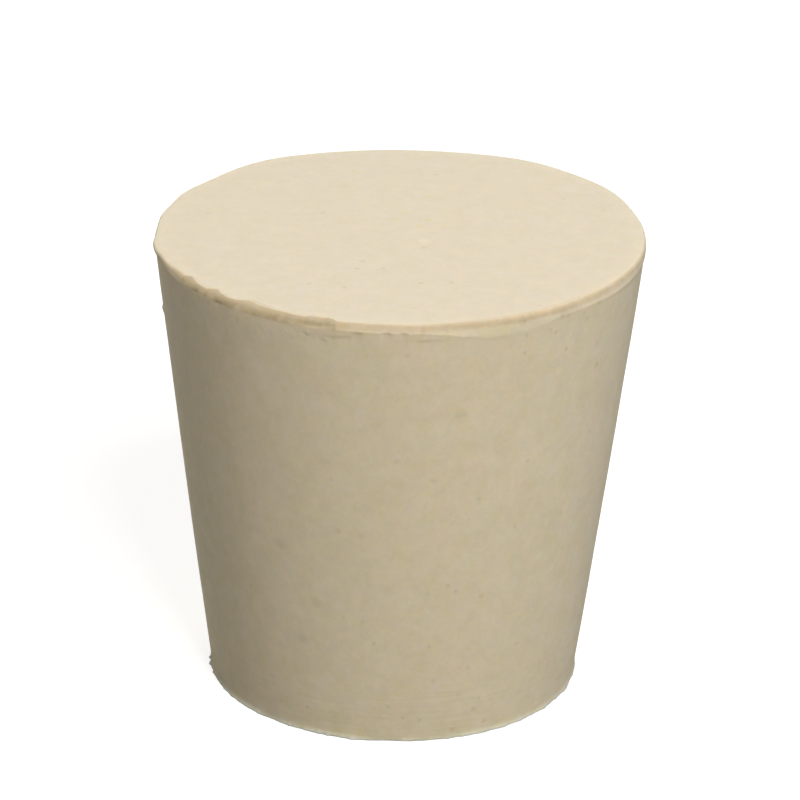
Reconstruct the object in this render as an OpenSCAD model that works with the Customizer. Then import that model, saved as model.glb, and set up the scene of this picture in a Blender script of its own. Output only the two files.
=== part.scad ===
// Solid rubber stopper: a tapered plug, moulded in one piece and trimmed round its wide end.
// It stands on its narrow end, with the origin at the middle of that end face and +Z up the axis.

/* [Plug] */
// Diameter of the wide end, across the land
top_d = 26; // [22:0.5:40]
// Diameter of the narrow end, where its face and its tapered side would meet
bottom_d = 20; // [12:0.5:21]
// Height from the narrow end face to the wide one
plug_h = 25; // [15:0.5:60]

/* [Rim] */
// Height of the straight land that the mould leaves under the wide end
land_h = 0.7; // [0.5:0.05:1.5]
// How far the land stands proud of the tapered side below it
land_step = 0.08; // [0.02:0.01:0.3]
// Depth of the crease pressed into the side under the land
crease_depth = 0.04; // [0.01:0.01:0.2]
// Height of that crease
crease_h = 0.15; // [0.05:0.01:0.5]
// Radius of the edge between the land and the wide end face
rim_r = 0.2; // [0.05:0.01:0.4]
// Height of the strip below the wide end face that tore where the flash was pulled off
torn_h = 0.4; // [0.2:0.05:0.5]

/* [Foot] */
// Radius of the edge between the side and the narrow end face
foot_r = 0.05; // [0.02:0.01:1]

/* [Hidden] */
$fn = 180;

top_r = top_d / 2;
bottom_r = bottom_d / 2;
land_z = plug_h - land_h;
crease_z = land_z - crease_h;
taper = atan((top_r - land_step - bottom_r) / land_z);

// Middle of the foot's round, which touches both the end face and the side
foot_x = bottom_r - foot_r * (1 - sin(taper)) / cos(taper);

// Bites torn out of the rim: angle from +X, width along the rim and depth
BITES = [
    [-147, 2.2, 0.30],
    [-137, 1.8, 0.35],
    [-126, 2.6, 0.45],
    [-110, 1.2, 0.30],
    [-106, 1.4, 0.30],
    [-88, 0.6, 0.15],
    [-78, 0.6, 0.10],
];

// Radius of the tapered side at a height
function side_r(z) = bottom_r + z * tan(taper);

// Radius of the arc that is this wide and this deep
function arc_r(width, depth) = (pow(width / 2, 2) + pow(depth, 2)) / (2 * depth);

// Half section of the plug, from the axis out: end faces, side, crease and land
module section() {
    polygon([
        [0, 0],
        [foot_x, 0],
        [foot_x + foot_r * cos(taper), foot_r * (1 - sin(taper))],
        [side_r(crease_z), crease_z],
        [side_r(land_z) - crease_depth, land_z],
        [top_r, land_z],
        [top_r, plug_h - rim_r],
        [top_r - rim_r, plug_h],
        [0, plug_h],
    ]);
    translate([foot_x, foot_r]) circle(foot_r);
    translate([top_r - rim_r, plug_h - rim_r]) circle(rim_r);
}

// A slanted scoop at the rim: its full depth at the wide end face, and nothing at torn_h below it
module bite(angle, width, depth) {
    arc = arc_r(width, depth);
    rotate(angle)
        translate([top_r - depth + arc, 0, plug_h - torn_h])
            cylinder(h = 2 * torn_h, r1 = arc - depth, r2 = arc + depth);
}

module stopper() {
    color([0.86, 0.80, 0.67])
        difference() {
            rotate_extrude() section();
            for (b = BITES) bite(b[0], b[1], b[2]);
        }
}

stopper();
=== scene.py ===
"""A solid rubber stopper: its moulded body, its rubber and a plain stage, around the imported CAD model.

Shapes are worked out in millimetres and angles in degrees, in the row's own frame: the axis is Z, the
narrow end stands on z = 0, angle 0 is +X and 270 faces the camera. make_piece() turns them into metres.
"""
import math
import random

import bpy
from mathutils import Matrix, Vector, noise


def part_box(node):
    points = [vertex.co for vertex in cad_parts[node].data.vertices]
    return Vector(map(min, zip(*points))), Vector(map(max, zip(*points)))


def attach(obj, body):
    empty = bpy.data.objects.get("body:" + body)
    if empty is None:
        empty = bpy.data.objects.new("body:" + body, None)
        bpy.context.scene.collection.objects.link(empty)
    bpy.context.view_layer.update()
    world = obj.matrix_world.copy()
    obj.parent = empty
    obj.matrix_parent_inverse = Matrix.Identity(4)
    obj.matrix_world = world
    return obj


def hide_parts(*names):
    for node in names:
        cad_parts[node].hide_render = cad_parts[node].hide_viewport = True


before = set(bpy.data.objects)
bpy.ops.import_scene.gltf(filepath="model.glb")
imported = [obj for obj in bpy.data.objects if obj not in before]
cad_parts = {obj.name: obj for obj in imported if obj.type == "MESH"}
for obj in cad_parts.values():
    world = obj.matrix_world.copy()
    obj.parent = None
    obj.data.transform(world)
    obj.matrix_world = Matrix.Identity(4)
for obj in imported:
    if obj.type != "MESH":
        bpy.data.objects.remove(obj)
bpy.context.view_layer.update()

MM = 0.001

# Sizes of the plug. The frame gives the first two, and part.scad has the same values for the rest.
low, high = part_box("stopper")
TOP_R = (high.x - low.x) / 2 / MM
PLUG_H = (high.z - low.z) / MM
BOTTOM_R = 10.0
LAND_H = 0.7
LAND_STEP = 0.08
TORN_H = 0.4

# ---- Shape of the side

PINCH = 0.07             # how far the side pinches in above the foot
BARREL = 0.06            # how far it bows out at half height
# Waves of the side: height, size of their features and seed.
SIDE_GRAINS = ((0.02, 6.0, 1.0), (0.006, 1.2, 4.0))
# Small lumps and dents of the side: angle, z, half width round, half height, height.
SIDE_LUMPS = (
    (183, 20.79, 0.2, 0.2, 0.09), (277, 20.2, 0.5, 0.12, 0.03), (278, 19.5, 0.7, 0.3, -0.04),
)

# ---- Shape of the wide end, which was trimmed a little askew and off centre

FACE_TILT = 0.1          # rise of the face at the rim towards +X
# Waves of the face: height, size of their features and the level at which the noise is read.
FACE_WAVES = ((0.02, 5.0, 3.1), (0.004, 1.3, 8.3))
# The moulding pip on the face: x, y, half width across and along, height. The last is a pit.
PIPS = ((1.18, -1.15, 0.28, 0.3, 0.07), (1.22, -1.95, 0.09, 0.1, -0.06))

RIM_INSET = 0.02         # mean radius of the rim under TOP_R
RIM_SHIFT = 0.12         # how far the rim lies off centre, towards +Y
RIM_GRAIN = (0.012, 0.5, 2.0)
# Bulges and hollows of the rim: angle, half width, height.
RIM_BULGES = (
    (34, 13, 0.29), (57, 12, 0.33), (89, 15, -0.17), (126, 13, 0.32), (153, 7, 0.15), (168, 4, 0.04),
    (177, 4, -0.04), (187, 3, 0.12), (191.5, 3, 0.12), (207, 4, -0.05), (222, 9, -0.05), (247, 7, -0.11),
    (263, 9, -0.08), (274, 2.5, 0.04), (285, 9, -0.10), (302, 12, 0.02), (325, 14, -0.05),
)
# Radius of the rim's edge where it is whole: angle, radius.
RIM_ROUNDS = (
    (0, 0.16), (180, 0.16), (198, 0.19), (208, 0.28), (230, 0.26), (290, 0.26), (330, 0.19), (360, 0.16),
)
STEEPEST_LEAN = 60.0     # degrees by which the rim leans outwards at most

# What was torn out of the rim: angle, depth.
BITES = (
    (208.6, 0), (210.8, 0.34), (213, 0.22), (215, 0.12), (218.5, 0.03), (220.9, 0.4), (224, 0.17),
    (226, 0.09), (228.5, 0.15), (231.5, 0.5), (235, 0.35), (241, 0.22), (245.5, 0.09), (247.8, 0.1),
    (249, 0.26), (252, 0.25), (253.3, 0.34), (254.2, 0.27), (256.4, 0), (274.5, 0), (275.4, 0.04),
    (276.5, 0), (280, 0), (281, 0.03), (282, 0),
)
TORN_DEPTH = 0.1         # depth from which the rim counts as torn
TORN_ROUND = 0.17        # radius of its edge there
TORN_GRAIN = (0.012, 0.25, 5.0)

# The land under the rim: by how much it flares at its foot, and its height, each by angle.
FLARES = (
    (0, 0.04), (60, 0.02), (190, 0.03), (203, 0.02), (210, -0.03), (225, -0.02), (238, 0.01),
    (318, 0.02), (338, 0.05), (360, 0.04),
)
LAND_HEIGHTS = (
    (0, 0.5), (60, 0.7), (120, 0.6), (180, 0.45), (207, 0.5), (213, 0.38), (238, 0.4), (250, 0.45),
    (256, 0.36), (275, 0.36), (280, 0.45), (285, 0.63), (291, 0.85), (298, 0.85), (304, 0.75), (309, 0.5),
    (316, 0.45), (345, 0.48), (360, 0.5),
)
LEAST_BAND = 0.1         # height of the land under the edge at least
OVERHANG_SHARE = 0.35    # share of the rim's overhang that the land's foot has too
LAND_UNDER, LAND_OVER = 0.25, 0.1            # the land fades into the side from over to under its foot

# Creases under the land: depth, and the line that each follows, as (angle, z). The rubber overhangs them.
CREASE_ABOVE, CREASE_BELOW = 0.07, 0.5       # how far each reaches over and under its line
CREASE_SHADE_DEPTH = 0.06                        # depth of a crease at which its painted shade is darkest
CREASES = (
    (0.02, ((213, 24.64), (222, 24.6), (228, 24.6))),
    (0.03, ((223, 24.56), (226, 24.56))),
    (0.03, ((228, 24.6), (241, 24.6), (245, 24.56), (249, 24.5))),
    (0.025, ((247, 24.22), (250.5, 24.08))),
    (0.025, ((251.2, 24.0), (254.2, 23.84))),
    (0.02, ((251, 24.1), (262, 24.3))),
    (0.04, ((259.4, 24.5), (262, 24.53))),
    (0.05, ((265.8, 24.6), (268.8, 24.6))),
    (0.05, ((270, 24.6), (272.2, 24.6))),
    (0.03, ((273, 24.16), (281, 24.18))),
)

# ---- Shape of the foot, a sharp, slightly flared edge with a ragged outline

FOOT_R = 10.02
FOOT_H = 0.35
FOOT_GRAIN = (0.035, 0.35, 7.0)
# Bulges and hollows of its outline: angle, half width, height. Those at the back are drawn at random.
FOOT_BULGES = (
    (182.5, 1, 0.09), (187, 1.6, 0.11), (193, 0.8, 0.08), (205, 1, 0.04), (210.5, 1.5, 0.05),
    (217, 8, 0.02), (225, 1, 0.05), (230, 2.5, -0.06), (237, 0.6, 0.04), (241, 1, -0.05), (247, 0.7, 0.05),
    (250, 0.6, 0.04), (258, 1.8, 0.07), (269, 4.5, -0.12), (281, 6, -0.05), (287.5, 0.6, 0.07),
    (290.5, 1, -0.06), (298.5, 1.2, 0.05), (306, 2, 0.07), (313.5, 2, 0.07), (324.5, 2.2, 0.06),
    (330.5, 1.2, -0.04), (339, 2, 0.05), (346, 3, -0.04), (358, 3, 0.02),
)
BACK_BULGES = 28
BACK_LIMITS = ((2, 178), (0.6, 3), (-0.05, 0.07))        # least and most of each of the three
UNDER_INSET = 0.02       # the narrow end face ends this far inside the foot's outline

# ---- Mesh: how many segments go round, and where the rings lie

CORE, COARSE, MIDDLE, FINE = 60, 240, 360, 1440
PIP_RINGS = 21           # rings near the axis, fine enough for the pip
PIP_RING_R = 0.6         # radius of the first
PIP_RING_STEP = 0.13
CORE_R = 0.3             # radius of the ring inside them
# The face's other rings: segments, and the shares of the way from the axis to the rim's edge where they lie.
FACE_RINGS = (
    (COARSE, (0.32, 0.4, 0.48, 0.56, 0.64, 0.72)),
    (2 * COARSE, (0.8, 0.88, 0.93, 0.965)),
    (FINE, (0.985, 1.0)),
)
EDGE_SHARES = (0.25, 0.5, 0.75, 1.0)
BAND_Z = 23.8            # where the band under the edge ends and the plain side starts
BAND_STEP = 0.05
SIDE_STEP = 0.3
FOOT_SHARES = (0.0, 0.3, 0.55, 0.75, 0.9, 1.0)
UNDER_RINGS = ((FINE, 1.0), (MIDDLE, 0.95), (CORE, 0.6))

# ---- Looks of the rubber. A tint multiplies the colour.

RUBBER = (0.662, 0.57, 0.425)
# Painted light: the side is a touch warmer than the face, standing in for the whiter light and sheen that
# fall on the face.
SIDE_PAINTED_LIGHT_TINT = (0.985, 1.0, 0.965)
FACE_UNDER, SIDE_UNDER = 0.15, 0.5           # under the top, where the face's looks end and the side's start

# Noise is given as its features in a millimetre, its detail and its roughness. Mottling also has what it
# adds to the colour's factors where it is strongest, and how far its noise is moved away from the others.
CLOUDS = (0.8, 5.0, 0.8)
TONES = (0.25, 0.25, 0.55)                   # of the paler and darker clouds
HUES = (
    ((-0.13, -0.125, 0.17), (40, 7, 3), (1.4, 4.0, 0.75)),        # bluish and yellowish patches
    ((-0.065, 0.08, 0.0), (8, 31, 5), (1.4, 4.0, 0.75)),          # greenish and pinkish ones
    ((0.06, 0.055, 0.18), (17, 3, 44), (2.2, 2.0, 0.7)),          # finer, darker and yellower ones
)
MOTTLING = (0.7, 1.0)                        # its share on the face and on the side

# Streaks that the mould left on the side near the foot.
STREAKS = (1.0, 2.0, 0.6)
STREAKS_MOVED = (3, 50, 9)
STREAK_LENGTH, STREAK_HEIGHT = 3.0, 0.18
STREAKS_END, STREAKS_FULL = 4.5, 2.0         # heights at which they end and are strongest
STREAK_TONE = 0.6

# Relief in mm: the grain on the face and on the side, the streaks and what was torn.
GRAIN = (3.0, 3.0, 0.6)
GRAIN_HEIGHTS = (0.004, 0.010)
STREAK_RELIEF = 0.012
TORN_RELIEF = 0.02

# Sheen: the clouds' noise from and to, and the roughness from and to that goes with it. Then how far light
# spreads inside the rubber, and the shares of that in red, green and blue.
SHEEN_CLOUDS = (0.2, 0.8)
ROUGHNESSES = (0.6, 0.7)
SPECULAR = 0.12
SPREAD = 0.5
SPREAD_SHARES = (1.0, 0.8, 0.6)

# The mesh's own tints, in the order in which they are laid on: name, tint, and the least share of it that is
# left where noise breaks it up. Those of the creases and the foot are painted shade and painted highlight,
# and that of the torn parts is partly painted shade.
OWN_TINTS = (
    ("lip", (1.03, 1.03, 1.02), 0.6),        # pale line on the face, just inside its edge
    ("land", (0.975, 0.985, 0.99), 0.6),
    ("edge", (0.83, 0.78, 0.69), 0.65),      # tan line along the wide end's edge
    # browner where the rim was torn: partly the torn rubber's own colour, partly painted shade in the
    # torn-out hollows
    ("torn", (0.72, 0.69, 0.62), 0.8),
    # painted shade in the creases under the land
    ("crease", (0.80, 0.77, 0.72), 0.3),
    ("foot", (1.3, 1.29, 1.29), 0.6),        # painted highlight along the foot's edge
)
# The noise that breaks them up, how far it is moved, and between which of its values they come back.
BREAKS = (1.6, 2.0, 0.6)
BREAKS_MOVED = (9, 2, 60)
BREAKS_FROM, BREAKS_TO = 0.35, 0.6
# Where those tints come and go, by the share of the way to the rim's edge or down the foot, or by the depth
# under the face.
LIP_SHARES, INNER_SHARES, FOOT_HIGHLIGHT_SHARES = (0.95, 0.985), (0.985, 1.0), (0.25, 0.95)
LIP_GOES = (0.0, 0.06)
EDGE_COMES, EDGE_GOES = (0.0, 0.03), (0.2, 0.48)
LAND_COMES, LAND_BLEND = (0.03, 0.15), 0.15
TORN_COMES, TORN_BLEND = (0.0, 0.25), 0.1
# Share of the tan line on the edge, and on the face just inside it: angle, share.
EDGE_STRENGTHS = (
    (0, 0.6), (190, 0.6), (200, 0.5), (206, 1.2), (213, 1.6), (219, 1.3), (227, 1.2), (236, 1.7), (243, 1.2),
    (250, 1.1), (258, 0.9), (270, 0.75), (288, 0.9), (297, 1.0), (306, 1.15), (320, 1.1), (327, 0.9),
    (345, 0.7), (360, 0.6),
)
INNER_STRENGTHS = (
    (0, 0), (210, 0.2), (215, 0.5), (222, 0.4), (229, 0.4), (236, 1.2), (243, 0.3), (249, 0.5), (256, 0.2),
    (270, 0.1), (285, 0.2), (297, 0.5), (313, 0.6), (322, 0.2), (332, 0), (360, 0),
)

# Specks strewn at random: distance apart, radius, and in which share of their cells there is one. Then how
# strong they are on the face and on the side.
STREWN = (0.9, 0.12, 0.3)
STREWN_STRENGTHS = (0.2, 0.5)
SPECK_TINT = (0.87, 0.86, 0.83)
# Specks of the side that have a place of their own: angle, z. Dark ones, and fainter ones.
DARK_R = 0.17
DARK_SPECKS = (
    (264.6, 6.1), (304.4, 16.4), (280.3, 5.9), (302.6, 12.6), (284.5, 9.6), (273.3, 1.5), (243.7, 1.5),
    (312.6, 22.5), (300.2, 22.9), (248.9, 24.1), (299.6, 24.76), (309.9, 24.54), (308.6, 23.66),
)
FAINT_R = 0.2
FAINT_STRENGTH = 0.6
FAINT_SPECKS = (
    (322.2, 10), (326.6, 12.6), (253.9, 15.9), (320.6, 4.9), (318.8, 12.4),
    (261.5, 7.4), (296.7, 2.2), (278.4, 1.3), (234, 1.4), (268.7, 2.2), (286.8, 9.2), (308.1, 5.1),
    (291.3, 14.7), (331.4, 4.2), (270.1, 17.2), (290, 2.7), (271.9, 23.4), (292.2, 4.3),
    (281.9, 3.7), (323.8, 22), (312, 24.45), (300.4, 23.95), (307, 23.85), (317.3, 24.25), (322.5, 24.5),
    (318.6, 23.85), (223.5, 24.55), (221, 24.3), (230.2, 23.9), (279.2, 16), (261.3, 12.6), (226.5, 8),
)
# Other marks of the side: tint, radius, and where they are, as (angle, z).
SIDE_MARKS = (
    # Soft smudges
    ((0.93, 0.93, 0.93), 0.45,
     ((238.6, 11.3), (248.6, 8.2), (243.7, 5.8), (310.4, 24.6), (299.4, 24.7), (285.0, 19.9))),
    # Rust-brown specks
    ((0.92, 0.87, 0.79), 0.24,
     ((255.3, 12.8), (294.5, 8.7), (295.3, 1.6), (325.2, 20.7), (299.5, 0.7), (288.9, 0.5))),
)
# Marks of the wide end face: tint, radius, and where they are, as (x, y).
FACE_MARKS = (
    # Yellow flecks
    ((1.0, 0.97, 0.80), 0.3,
     ((1.46, 5.69), (0.23, 3.05), (-0.25, 2.13), (2.36, 1.08), (1.51, 2.08), (0.98, 1.16), (-2.66, 9.34))),
    # Grey specks. The one in the pit is painted shade, on the pit's wall that faces away from the light.
    ((0.90, 0.90, 0.90), 0.2,
     ((-2.79, -7.72), (-4.16, 2.98), (8.75, 5.45), (10.85, 3.75), (-1.92, -4.04), (-0.87, -4.98),
      (-2.22, -5.05), (1.22, -1.95), (1.11, -6.98), (2.65, -6.9), (-4.65, -7.26), (-10.3, 2.66),
      (1.94, 8.96))),
    # Painted highlight on the pip, on its far slope, which faces the light
    ((1.06, 1.05, 1.04), 0.4, (PIPS[0][:2],)),
)
# Share of its radius within which a mark, and a strewn speck, is strongest. Then the noise that makes all
# their outlines ragged, and by how much.
MARK_CORE, SPECK_CORE = 0.25, 0.3
RAGS = (4.0, 1.0, 0.5)
RAG_DEPTH = 0.16

# ---- Stage

FLOOR_HALF = 3.0         # metres
FLOOR_GAP = 0.01         # between the foot and the floor, so that the two surfaces don't coincide
FLOOR_COLOUR = (0.34, 0.325, 0.3, 1)
FLOOR_ROUGHNESS = 0.9
FLOOR_LIFT = 0.77        # light that the camera sees on top of the floor's own
WORLD_LEVEL = 0.01
# Square lamps: azimuth, elevation, size, the light that each alone would give a white card that faces it,
# and its colour.
LAMP_DISTANCE = 500
LAMPS = {
    "key": (21, 45, 180, 1.05, (1.0, 1.0, 1.0)),
    "back": (180, 50, 350, 0.39, (1.0, 1.0, 1.0)),
    "left": (-129, 25, 350, 0.28, (1.0, 1.0, 0.92)),
}
# The camera: how far and how high it is from the middle of the plug, what it aims at, its roll and its lens.
CAMERA_DISTANCE = 242.0
CAMERA_ELEVATION = 23.96
CAMERA_AIM = (0.14, 0.0, 15.42)
CAMERA_ROLL = 1.06
CAMERA_LENS = 201.7
CAMERA_CLIP = 10

random.seed(4)
FOOT_BULGES += tuple(tuple(random.uniform(*limits) for limits in BACK_LIMITS) for _ in range(BACK_BULGES))


# ---------------------------------------------------------------- shape

def smooth(start, end, value):
    """0 at start, 1 at end, and smooth between them."""
    t = min(1.0, max(0.0, (value - start) / (end - start)))
    return t * t * (3 - 2 * t)


def between(table, place):
    """Smooth value at a place, from a table of (place, value)."""
    for (a, v), (b, w) in zip(table, table[1:]):
        if place <= b:
            return v + (w - v) * smooth(a, b, place)
    return table[-1][1]


def bell(off):
    """1 in the middle of a bulge, and 0 from three of its half widths on."""
    return math.exp(-off * off) if abs(off) < 3 else 0.0


def bulges(table, angle):
    """Sum of smooth bulges at an angle, from a table of (angle, half width, height)."""
    return sum(height * bell(((angle - middle + 180) % 360 - 180) / width)
               for middle, width, height in table)


def grain(angle, z, kind):
    """Noise on the plug's side. kind is its height, the size of its features and its seed."""
    height, size, seed = kind
    turn = math.radians(angle)
    at = Vector((TOP_R * math.cos(turn), TOP_R * math.sin(turn), z)) / size
    return height * noise.noise(at + Vector((seed, seed * 1.7, seed * 0.6)))


def bite(angle):
    """Depth torn out of the rim at an angle."""
    return between(BITES, angle)


def torn(angle):
    """1 where the rim is torn, 0 where it is whole."""
    return min(1.0, bite(angle) / TORN_DEPTH)


def crease(angle, z):
    """Depth of the creases under the land at a place, and how much painted shade goes in them."""
    depth = dark = 0.0
    for deep, line in CREASES:
        start, end = line[0][0], line[-1][0]
        if start < angle < end:
            along = (angle - start) / (end - start)
            here = deep * min(1.0, 3 * along, 3 * (1 - along))
            above = z - between(line, angle)
            depth += here * bell(above / (CREASE_ABOVE if above > 0 else CREASE_BELOW))
            dark += here * bell(above / CREASE_ABOVE)
    return depth, dark / CREASE_SHADE_DEPTH


def lump(angle, z):
    """Height of the small lumps of the side at a place."""
    return sum(height * bell(math.radians(angle - middle) * TOP_R / width) * bell((z - level) / tall)
               for middle, level, width, tall, height in SIDE_LUMPS)


def side_r(angle, z):
    """Radius of the tapered side."""
    t = z / (PLUG_H - LAND_H)
    foot = BOTTOM_R - PINCH
    line = foot + (TOP_R - LAND_STEP - foot) * t + BARREL * 4 * t * (1 - t)
    return line + sum(grain(angle, z, kind) for kind in SIDE_GRAINS) + lump(angle, z)


def face_z(x, y):
    """Height of the wide end face."""
    swell = sum(height * noise.noise(Vector((x, y, level)) / size) for height, size, level in FACE_WAVES)
    pips = sum(height * bell((x - middle_x) / across) * bell((y - middle_y) / along)
               for middle_x, middle_y, across, along, height in PIPS)
    return PLUG_H + FACE_TILT * x / TOP_R + swell + pips


def rim_r(angle):
    """Radius of the trimmed rim before anything is torn out of it."""
    shift = RIM_SHIFT * math.sin(math.radians(angle))
    return TOP_R - RIM_INSET + shift + bulges(RIM_BULGES, angle) + grain(angle, 0, RIM_GRAIN)


def edge_round(angle):
    """Radius of the wide end's edge."""
    whole = between(RIM_ROUNDS, angle)
    return whole + (TORN_ROUND - whole) * torn(angle)


def pip_point(angle, r):
    """A point on the wide end face, at a radius."""
    turn = math.radians(angle)
    return r, face_z(r * math.cos(turn), r * math.sin(turn))


def face_point(angle, share):
    """A point on the wide end face, at a share of the way from its middle to its edge."""
    return pip_point(angle, (rim_r(angle) - bite(angle) - edge_round(angle)) * share)


def lean(angle):
    """Degrees by which the band under the edge leans outwards, where the rim is torn or lies further in."""
    land_h = between(LAND_HEIGHTS, angle)
    out = side_r(angle, PLUG_H - land_h) + between(FLARES, angle) - rim_r(angle)
    slopes = max(0.0, out) / max(LEAST_BAND, land_h - edge_round(angle)), 2 * bite(angle) / TORN_H
    return min(STEEPEST_LEAN, math.degrees(math.atan(max(slopes))))


def edge_point(angle, share):
    """A point on the rounded edge, at a share of its turn from the face to the band."""
    r, z = face_point(angle, 1.0)
    curve, turn = edge_round(angle), math.radians(share * (90 - lean(angle)))
    return r + curve * math.sin(turn), z - curve * (1 - math.cos(turn))


def band_point(angle, share):
    """A point on the band under the edge, which holds the land, the torn slopes and the creases."""
    edge_r, edge_z = edge_point(angle, 1.0)
    z = edge_z + (BAND_Z - edge_z) * share
    land_z = PLUG_H - between(LAND_HEIGHTS, angle)
    side = side_r(angle, z)
    whole = edge_r + bite(angle)
    flare = between(FLARES, angle) + OVERHANG_SHARE * max(0.0, whole - TOP_R)
    land = whole + (side + flare - whole) * min(1.0, (edge_z - z) / (edge_z - land_z))
    r = side + (land - side) * smooth(land_z - LAND_UNDER, land_z + LAND_OVER, z)
    slope = bite(angle) * max(0.0, 1 - (edge_z - z) / TORN_H) ** 2
    return r - slope - crease(angle, z)[0] + torn(angle) * grain(angle, z, TORN_GRAIN), z


def side_point(angle, z):
    """A point on the tapered side."""
    return side_r(angle, z), z


def foot_point(angle, share):
    """A point on the flared foot, from the side down to the edge that it stands on."""
    z = FOOT_H * (1 - share)
    edge = FOOT_R + bulges(FOOT_BULGES, angle) + grain(angle, 0, FOOT_GRAIN)
    return side_r(angle, z) + (edge - side_r(angle, 0)) * share * share, z


def under_point(angle, share):
    """A point on the narrow end face."""
    r, _ = foot_point(angle, 1.0)
    return (r - UNDER_INSET) * share, 0.0


def rings():
    """All rings from the middle of the wide end face out, down the side and in under the foot.

    Each is how many points it has, the function that places them, and the value the function takes.
    """
    band = round((PLUG_H - BAND_Z) / BAND_STEP)
    side = round((BAND_Z - FOOT_H) / SIDE_STEP)
    made = [(CORE, pip_point, CORE_R)]
    made += [(COARSE, pip_point, PIP_RING_R + PIP_RING_STEP * s) for s in range(PIP_RINGS)]
    made += [(count, face_point, s) for count, shares in FACE_RINGS for s in shares]
    made += [(FINE, edge_point, s) for s in EDGE_SHARES]
    made += [(FINE, band_point, s / band) for s in range(1, band + 1)]
    made += [(MIDDLE, side_point, BAND_Z + (FOOT_H - BAND_Z) * s / side) for s in range(1, side)]
    made += [(FINE, foot_point, s) for s in FOOT_SHARES]
    made += [(count, under_point, s) for count, s in UNDER_RINGS]
    return made


def tints(angle, z, point, value):
    """Shares of the mesh's own tints at a place, by name. Those that are left out are 0."""
    if point is face_point:
        inner = smooth(*INNER_SHARES, value) * between(INNER_STRENGTHS, angle)
        return {"lip": smooth(*LIP_SHARES, value), "edge": inner}
    if point is foot_point:
        # painted highlight along the foot's edge
        return {"foot": smooth(*FOOT_HIGHLIGHT_SHARES, value)}
    if point not in (edge_point, band_point):
        return {}
    depth = edge_point(angle, 0)[1] - z
    land_h = between(LAND_HEIGHTS, angle)
    edge = smooth(*EDGE_COMES, depth) * (1 - smooth(*EDGE_GOES, depth))
    land_ends = 1 - smooth(land_h - LAND_BLEND, land_h + LAND_BLEND, depth)
    torn_ends = 1 - smooth(TORN_H - TORN_BLEND, TORN_H + TORN_BLEND, depth)
    return {
        "lip": 1 - smooth(*LIP_GOES, depth),
        "edge": edge * between(EDGE_STRENGTHS, angle),
        "land": smooth(*LAND_COMES, depth) * land_ends,
        # painted shade in the creases
        "crease": min(1.0, crease(angle, z)[1]),
        # partly painted shade in the torn-out hollows
        "torn": torn(angle) * smooth(*TORN_COMES, depth) * torn_ends,
    }


def place_points(made):
    """The points of some rings, with one more in the middle of each end, and their shares of the tints."""
    points = [(0.0, 0.0, face_z(0, 0))]
    shares = [{}]
    for count, point, value in made:
        for i in range(count):
            angle = 360 * i / count
            r, z = point(angle, value)
            turn = math.radians(angle)
            points.append((r * math.cos(turn), r * math.sin(turn), z))
            shares.append(tints(angle, z, point, value))
    return points + [(0.0, 0.0, 0.0)], shares + [{}]


def strip(a, b, upper, lower):
    """Faces between two rings that start at vertices a and b. One may have several times as many points."""
    if upper == lower:
        return [(a + i, b + i, b + (i + 1) % lower, a + (i + 1) % upper) for i in range(upper)]
    if upper > lower:
        return [face[::-1] for face in strip(b, a, lower, upper)]
    faces, times = [], lower // upper
    for i in range(upper):
        here, following = a + i, a + (i + 1) % upper
        fan = [b + (times * i + k) % lower for k in range(times + 1)]
        half = times // 2
        faces += [(here, p, q) for p, q in zip(fan[:half], fan[1:half + 1])]
        faces.append((here, fan[half], following))
        faces += [(following, p, q) for p, q in zip(fan[half:], fan[half + 1:])]
    return faces


def place_faces(counts):
    """Faces of the closed surface over rings that have these numbers of points."""
    first, last = counts[0], counts[-1]
    faces = [(0, 1 + i, 1 + (i + 1) % first) for i in range(first)]
    start = 1
    for upper, lower in zip(counts, counts[1:]):
        faces += strip(start, start + upper, upper, lower)
        start += upper
    return faces + [(start + i, start + last, start + (i + 1) % last) for i in range(last)]


def new_object(name, points, faces, material):
    """An object of one mesh and one material, linked to the scene."""
    mesh = bpy.data.meshes.new(name)
    mesh.from_pydata(points, [], faces)
    mesh.materials.append(material)
    made = bpy.data.objects.new(name, mesh)
    bpy.context.scene.collection.objects.link(made)
    return made


def make_piece(name, material):
    """The stopper as one closed mesh, in metres, with its own tints. Only its underside is shaded flat."""
    made = rings()
    points, shares = place_points(made)
    faces = place_faces([count for count, _, _ in made])
    piece = new_object(name, [tuple(c * MM for c in p) for p in points], faces, material)
    mesh = piece.data
    mesh.polygons.foreach_set("use_smooth", [any(points[i][2] > 0 for i in face) for face in faces])
    for layer, _, _ in OWN_TINTS:
        values = mesh.attributes.new(layer, "FLOAT", "POINT")
        values.data.foreach_set("value", [share.get(layer, 0.0) for share in shares])
    mesh.update()
    return piece


# ---------------------------------------------------------------- materials

def node(tree, kind, inputs=None, **settings):
    """A shader node with its settings made and its inputs set or linked, by name or by number."""
    made = tree.nodes.new("ShaderNode" + kind)
    for name, value in settings.items():
        setattr(made, name, value)
    for name, value in (inputs or {}).items():
        if isinstance(value, bpy.types.NodeSocket):
            tree.links.new(value, made.inputs[name])
        else:
            made.inputs[name].default_value = value
    return made


def new_material(name):
    """An empty material, its node tree and its Principled shader."""
    material = bpy.data.materials.new(name)
    material.use_nodes = True
    tree = material.node_tree
    return material, tree, tree.nodes["Principled BSDF"]


def maths(tree, operation, first, second):
    """Result of a Math node."""
    return node(tree, "Math", {0: first, 1: second}, operation=operation).outputs[0]


def vectors(tree, operation, first, second):
    """Result of a Vector Math node, for vectors and colours."""
    return node(tree, "VectorMath", {0: first, 1: second}, operation=operation).outputs[0]


def scaled(tree, vector, by):
    """A vector or colour times a number."""
    return node(tree, "VectorMath", {0: vector, "Scale": by}, operation="SCALE").outputs[0]


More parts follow.
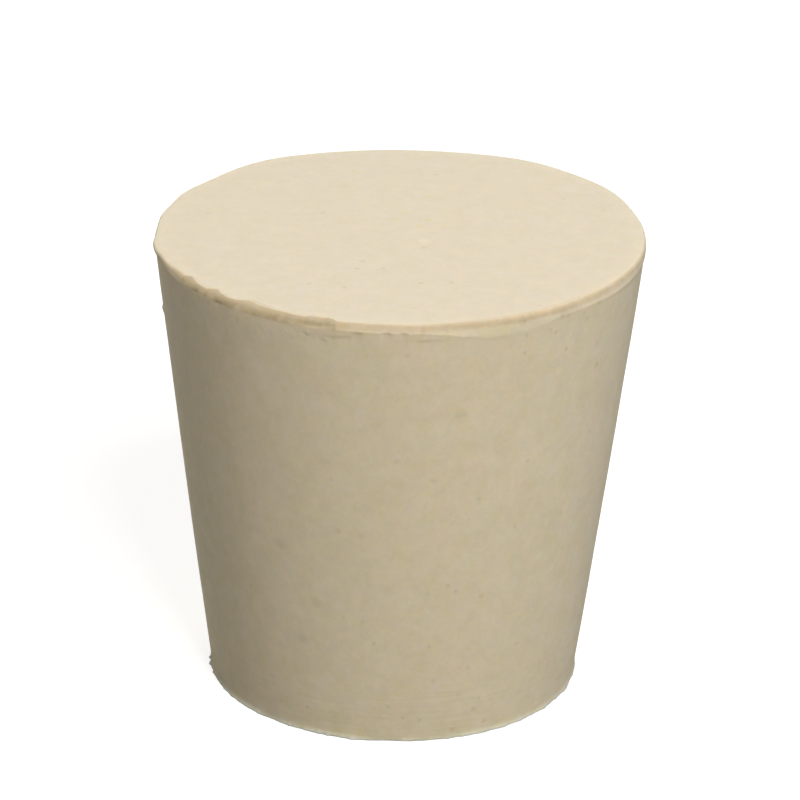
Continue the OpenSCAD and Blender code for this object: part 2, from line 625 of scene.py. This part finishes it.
def ramp(tree, value, start, end, low=0.0, high=1.0, kind="SMOOTHSTEP"):
    """A value carried from its start and end to low and high, smoothly unless told otherwise."""
    made = node(tree, "MapRange", {0: value, 1: start, 2: end, 3: low, 4: high}, interpolation_type=kind)
    return made.outputs[0]


def face_or_side(tree, side, values):
    """The first value on the wide end face, and the second on the side."""
    return ramp(tree, side, 0, 1, *values)


def tint(tree, colour, share, by):
    """A colour that is multiplied by another in this share."""
    made = node(tree, "Mix", {0: share, 6: colour, 7: (*by, 1)}, data_type="RGBA", blend_type="MULTIPLY")
    return made.outputs[2]


def cloudy(tree, place, kind, output="Fac"):
    """Noise between 0 and 1. kind is its features in a millimetre, its detail and its roughness."""
    scale, detail, roughness = kind
    inputs = {"Vector": place, "Scale": scale, "Detail": detail, "Roughness": roughness}
    return node(tree, "TexNoise", inputs).outputs[output]


def centred(tree, value):
    """Noise between 0 and 1, moved to lie round 0."""
    return maths(tree, "SUBTRACT", value, 0.5)


def shifted(tree, place, by, across=1.0, up=1.0):
    """The place moved, so that noise differs there, with its features stretched across and upwards."""
    return vectors(tree, "MULTIPLY", vectors(tree, "ADD", place, by), (1 / across, 1 / across, 1 / up))


def on_side(spots):
    """The points of the side at some angles and heights, in mm."""
    return [(side_r(a, z) * math.cos(math.radians(a)), side_r(a, z) * math.sin(math.radians(a)), z)
            for a, z in spots]


def on_face(spots):
    """The points of the wide end face at some x and y, in mm."""
    return [(x, y, face_z(x, y)) for x, y in spots]


def marks(tree, place, middles, radius):
    """1 in the middle of each mark and 0 away from them all."""
    nearest = radius
    for middle in middles:
        away = node(tree, "VectorMath", {0: place, 1: middle}, operation="DISTANCE").outputs["Value"]
        nearest = maths(tree, "MINIMUM", away, nearest)
    return ramp(tree, nearest, radius, MARK_CORE * radius)


def specks(tree, place, spacing, radius, share):
    """Round specks strewn at random: about this far apart, of this radius, in this share of the cells."""
    cells = node(tree, "TexVoronoi", {"Vector": place, "Scale": 1 / spacing})
    inside = ramp(tree, cells.outputs["Distance"], radius / spacing, SPECK_CORE * radius / spacing)
    draw = node(tree, "SeparateColor", {0: cells.outputs["Color"]}).outputs[0]
    return maths(tree, "MULTIPLY", inside, maths(tree, "LESS_THAN", draw, share))


def own_tint(tree, name, broken, least):
    """One of the mesh's own tints, broken up by noise, which leaves at least this share of it."""
    own = node(tree, "Attribute", attribute_name=name).outputs["Fac"]
    return maths(tree, "MULTIPLY", own, ramp(tree, broken, BREAKS_FROM, BREAKS_TO, least, 1.0))


def mottled(tree, place, side, clouds, streaked):
    """The rubber's colour, mottled in tone and hue, less so on the wide end face, and streaked."""
    change = scaled(tree, TONES, maths(tree, "ADD", centred(tree, clouds), streaked))
    for most, by, kind in HUES:
        patches = centred(tree, cloudy(tree, shifted(tree, place, by), kind))
        change = vectors(tree, "ADD", change, scaled(tree, most, patches))
    change = scaled(tree, change, face_or_side(tree, side, MOTTLING))
    change = vectors(tree, "ADD", change, (1.0, 1.0, 1.0))
    # The side's tint is painted light, standing in for the whiter light on the face.
    return tint(tree, vectors(tree, "MULTIPLY", change, RUBBER), side, SIDE_PAINTED_LIGHT_TINT)


def marked(tree, colour, place, side):
    """The colour with its strewn specks and the marks that have their own places, all a little ragged."""
    rags = vectors(tree, "SUBTRACT", cloudy(tree, place, RAGS, "Color"), (0.5, 0.5, 0.5))
    spot = vectors(tree, "ADD", place, scaled(tree, rags, RAG_DEPTH))
    strewn = maths(tree, "MULTIPLY", specks(tree, spot, *STREWN), face_or_side(tree, side, STREWN_STRENGTHS))
    dark = maths(tree, "MAXIMUM", marks(tree, spot, on_side(DARK_SPECKS), DARK_R), strewn)
    faint = maths(tree, "MULTIPLY", marks(tree, spot, on_side(FAINT_SPECKS), FAINT_R), FAINT_STRENGTH)
    colour = tint(tree, colour, maths(tree, "MAXIMUM", dark, faint), SPECK_TINT)
    kinds = [(by, radius, on_side(spots)) for by, radius, spots in SIDE_MARKS]
    kinds += [(by, radius, on_face(spots)) for by, radius, spots in FACE_MARKS]
    for by, radius, middles in kinds:
        colour = tint(tree, colour, marks(tree, spot, middles, radius), by)
    return colour


def rubber():
    """Cream rubber: mottled and specked, tan along the wide end's edge, browner where it was torn, and
    streaked near the foot. Painted shade darkens the creases and the torn hollows, and painted highlights
    lighten the foot's edge and the pip.
    """
    material, tree, shader = new_material("cream_rubber")
    place = scaled(tree, node(tree, "TexCoord").outputs["Object"], 1 / MM)
    z = node(tree, "SeparateXYZ", {0: place}).outputs["Z"]
    side = ramp(tree, z, PLUG_H - FACE_UNDER, PLUG_H - SIDE_UNDER)
    streaky = ramp(tree, z, STREAKS_END, STREAKS_FULL)
    clouds = cloudy(tree, place, CLOUDS)
    streaks = cloudy(tree, shifted(tree, place, STREAKS_MOVED, STREAK_LENGTH, STREAK_HEIGHT), STREAKS)
    broken = cloudy(tree, shifted(tree, place, BREAKS_MOVED), BREAKS)
    own = {name: own_tint(tree, name, broken, least) for name, _, least in OWN_TINTS}

    streaked = maths(tree, "MULTIPLY", centred(tree, streaks), maths(tree, "MULTIPLY", streaky, STREAK_TONE))
    colour = mottled(tree, place, side, clouds, streaked)
    colour = marked(tree, colour, place, side)
    for name, by, _ in OWN_TINTS:
        colour = tint(tree, colour, own[name], by)
    tree.links.new(colour, shader.inputs["Base Color"])

    fine = maths(tree, "MULTIPLY", cloudy(tree, place, GRAIN), face_or_side(tree, side, GRAIN_HEIGHTS))
    mould = maths(tree, "MULTIPLY", maths(tree, "MULTIPLY", streaks, streaky), STREAK_RELIEF)
    rough = maths(tree, "MULTIPLY", maths(tree, "MULTIPLY", broken, own["torn"]), TORN_RELIEF)
    height = maths(tree, "ADD", fine, maths(tree, "ADD", mould, rough))
    bump = node(tree, "Bump", {"Height": height, "Distance": MM})
    tree.links.new(bump.outputs["Normal"], shader.inputs["Normal"])

    roughness = ramp(tree, clouds, *SHEEN_CLOUDS, *ROUGHNESSES, "LINEAR")
    tree.links.new(roughness, shader.inputs["Roughness"])
    shader.inputs["Specular IOR Level"].default_value = SPECULAR
    shader.inputs["Subsurface Weight"].default_value = 1.0
    shader.inputs["Subsurface Radius"].default_value = SPREAD_SHARES
    shader.inputs["Subsurface Scale"].default_value = SPREAD * MM
    return material


def floor_material():
    """Pale floor. What the camera sees of it is lifted to white, apart from the shadow on it."""
    material, tree, shader = new_material("pale_floor")
    shader.inputs["Base Color"].default_value = FLOOR_COLOUR
    shader.inputs["Roughness"].default_value = FLOOR_ROUGHNESS
    shader.inputs["Emission Color"].default_value = (1, 1, 1, 1)
    seen = node(tree, "LightPath").outputs["Is Camera Ray"]
    tree.links.new(maths(tree, "MULTIPLY", seen, FLOOR_LIFT), shader.inputs["Emission Strength"])
    return material


# ---------------------------------------------------------------- stage

def make_floor():
    """A flat floor just under the foot."""
    z = -FLOOR_GAP * MM
    corners = [(x * FLOOR_HALF, y * FLOOR_HALF, z) for x, y in ((-1, -1), (1, -1), (1, 1), (-1, 1))]
    return new_object("floor", corners, [(0, 1, 2, 3)], floor_material())


def direction(azimuth, elevation):
    """Unit vector from the plug, with azimuth 0 towards the camera and 90 towards +X."""
    a, e = math.radians(azimuth), math.radians(elevation)
    return Vector((math.sin(a) * math.cos(e), -math.cos(a) * math.cos(e), math.sin(e)))


def make_lamp(name, azimuth, elevation, size, level, colour):
    """A square lamp that faces the middle of the plug."""
    lamp = bpy.data.lights.new(name, "AREA")
    lamp.shape = "SQUARE"
    lamp.size = size * MM
    lamp.energy = level * math.pi ** 2 * (LAMP_DISTANCE * MM) ** 2
    lamp.color = colour
    made = bpy.data.objects.new(name, lamp)
    toward = direction(azimuth, elevation)
    made.location = (Vector((0, 0, PLUG_H / 2)) + toward * LAMP_DISTANCE) * MM
    made.rotation_euler = toward.to_track_quat("Z", "Y").to_euler()
    bpy.context.scene.collection.objects.link(made)


def make_world(level):
    """Soft light from all round at this level, which is white to the camera and in reflections."""
    world = bpy.data.worlds.new("studio")
    world.use_nodes = True
    tree = world.node_tree
    path = node(tree, "LightPath").outputs
    seen = maths(tree, "MAXIMUM", path["Is Camera Ray"], path["Is Glossy Ray"])
    seen = maths(tree, "MAXIMUM", seen, path["Is Transmission Ray"])
    background = tree.nodes["Background"].inputs
    tree.links.new(ramp(tree, seen, 0, 1, level, 1.0, "LINEAR"), background["Strength"])
    background["Color"].default_value = (1, 1, 1, 1)
    bpy.context.scene.world = world


def make_camera():
    """The camera, in front of the plug and above it."""
    camera = bpy.data.objects.new("camera", bpy.data.cameras.new("camera"))
    camera.data.lens = CAMERA_LENS
    camera.data.clip_start = CAMERA_CLIP * MM
    toward = direction(0, CAMERA_ELEVATION)
    camera.location = (Vector((0, 0, PLUG_H / 2)) + toward * CAMERA_DISTANCE) * MM
    look = Vector(CAMERA_AIM) * MM - camera.location
    turn = look.to_track_quat("-Z", "Y").to_matrix() @ Matrix.Rotation(math.radians(CAMERA_ROLL), 3, "Z")
    camera.rotation_euler = turn.to_euler()
    bpy.context.scene.collection.objects.link(camera)
    bpy.context.scene.camera = camera


# ---------------------------------------------------------------- the scene

stopper = make_piece("stopper_body", rubber())
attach(stopper, "root")
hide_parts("stopper")

make_floor()
make_world(WORLD_LEVEL)
for lamp_name, settings in LAMPS.items():
    make_lamp(lamp_name, *settings)
make_camera()
bpy.context.scene.view_settings.view_transform = "Standard"
